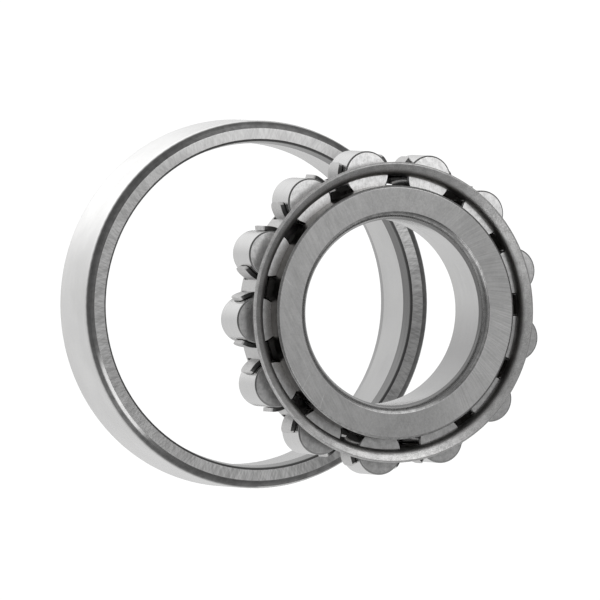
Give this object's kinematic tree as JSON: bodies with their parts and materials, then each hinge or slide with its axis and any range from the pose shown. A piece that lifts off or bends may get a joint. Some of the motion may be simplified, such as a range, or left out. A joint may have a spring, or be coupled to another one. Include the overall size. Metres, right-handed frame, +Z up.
{
  "type": "cylindrical roller bearing",
  "caption": "Single-row cylindrical roller bearing with a flanged inner ring, a pressed steel cage and a plain separable outer ring drawn back along the axis.",
  "frame": {"origin": "centre of the bore, at the middle of the inner ring's width", "axes": "+Y along the bearing axis from the front face to the back face, +Z up"},
  "size_m": [0.08, 0.0985, 0.08],
  "materials": {
    "ring_steel": "ground",
    "roller_steel": "fine ground",
    "cage_steel": "tumbled pressed sheet"
  },
  "bodies": {
    "outer_ring": {"outer_ring": "ring_steel"},
    "inner_ring": {"inner_ring": "ring_steel"},
    "cage": {"cage": "cage_steel"},
    "roller_01": {"roller_01": "roller_steel"},
    "roller_02": {"roller_02": "roller_steel"},
    "roller_03": {"roller_03": "roller_steel"},
    "roller_04": {"roller_04": "roller_steel"},
    "roller_05": {"roller_05": "roller_steel"},
    "roller_06": {"roller_06": "roller_steel"},
    "roller_07": {"roller_07": "roller_steel"},
    "roller_08": {"roller_08": "roller_steel"},
    "roller_09": {"roller_09": "roller_steel"},
    "roller_10": {"roller_10": "roller_steel"},
    "roller_11": {"roller_11": "roller_steel"},
    "roller_12": {"roller_12": "roller_steel"},
    "roller_13": {"roller_13": "roller_steel"}
  },
  "joints": [
    {"name": "cage_orbit", "type": "hinge", "parent": "inner_ring", "child": "cage", "pos_m": [0, 0, 0], "axis": [0, 1, 0], "continuous": true},
    {"name": "outer_ring_slide", "type": "slide", "parent": "cage", "child": "outer_ring", "axis": [0, -1, 0], "range_m": [0, 0.0805]},
    {"name": "roller_01_spin", "type": "hinge", "parent": "cage", "child": "roller_01", "pos_m": [0.02875, 0, 0.00857], "axis": [0, 1, 0], "continuous": true},
    {"name": "roller_02_spin", "type": "hinge", "parent": "cage", "child": "roller_02", "pos_m": [0.02147, 0, 0.02095], "axis": [0, 1, 0], "continuous": true},
    {"name": "roller_03_spin", "type": "hinge", "parent": "cage", "child": "roller_03", "pos_m": [0.00928, 0, 0.02853], "axis": [0, 1, 0], "continuous": true},
    {"name": "roller_04_spin", "type": "hinge", "parent": "cage", "child": "roller_04", "pos_m": [-0.00504, 0, 0.02957], "axis": [0, 1, 0], "continuous": true},
    {"name": "roller_05_spin", "type": "hinge", "parent": "cage", "child": "roller_05", "pos_m": [-0.01821, 0, 0.02384], "axis": [0, 1, 0], "continuous": true},
    {"name": "roller_06_spin", "type": "hinge", "parent": "cage", "child": "roller_06", "pos_m": [-0.0272, 0, 0.01265], "axis": [0, 1, 0], "continuous": true},
    {"name": "roller_07_spin", "type": "hinge", "parent": "cage", "child": "roller_07", "pos_m": [-0.02997, 0, -0.00144], "axis": [0, 1, 0], "continuous": true},
    {"name": "roller_08_spin", "type": "hinge", "parent": "cage", "child": "roller_08", "pos_m": [-0.02586, 0, -0.0152], "axis": [0, 1, 0], "continuous": true},
    {"name": "roller_09_spin", "type": "hinge", "parent": "cage", "child": "roller_09", "pos_m": [-0.01584, 0, -0.02548], "axis": [0, 1, 0], "continuous": true},
    {"name": "roller_10_spin", "type": "hinge", "parent": "cage", "child": "roller_10", "pos_m": [-0.00218, 0, -0.02992], "axis": [0, 1, 0], "continuous": true},
    {"name": "roller_11_spin", "type": "hinge", "parent": "cage", "child": "roller_11", "pos_m": [0.01197, 0, -0.02751], "axis": [0, 1, 0], "continuous": true},
    {"name": "roller_12_spin", "type": "hinge", "parent": "cage", "child": "roller_12", "pos_m": [0.02339, 0, -0.01879], "axis": [0, 1, 0], "continuous": true},
    {"name": "roller_13_spin", "type": "hinge", "parent": "cage", "child": "roller_13", "pos_m": [0.02944, 0, -0.00577], "axis": [0, 1, 0], "continuous": true}
  ],
  "couplings": [
    {"joint": "roller_01_spin", "follows": "cage_orbit", "ratio": 5},
    {"joint": "roller_02_spin", "follows": "cage_orbit", "ratio": 5},
    {"joint": "roller_03_spin", "follows": "cage_orbit", "ratio": 5},
    {"joint": "roller_04_spin", "follows": "cage_orbit", "ratio": 5},
    {"joint": "roller_05_spin", "follows": "cage_orbit", "ratio": 5},
    {"joint": "roller_06_spin", "follows": "cage_orbit", "ratio": 5},
    {"joint": "roller_07_spin", "follows": "cage_orbit", "ratio": 5},
    {"joint": "roller_08_spin", "follows": "cage_orbit", "ratio": 5},
    {"joint": "roller_09_spin", "follows": "cage_orbit", "ratio": 5},
    {"joint": "roller_10_spin", "follows": "cage_orbit", "ratio": 5},
    {"joint": "roller_11_spin", "follows": "cage_orbit", "ratio": 5},
    {"joint": "roller_12_spin", "follows": "cage_orbit", "ratio": 5},
    {"joint": "roller_13_spin", "follows": "cage_orbit", "ratio": 5}
  ]
}
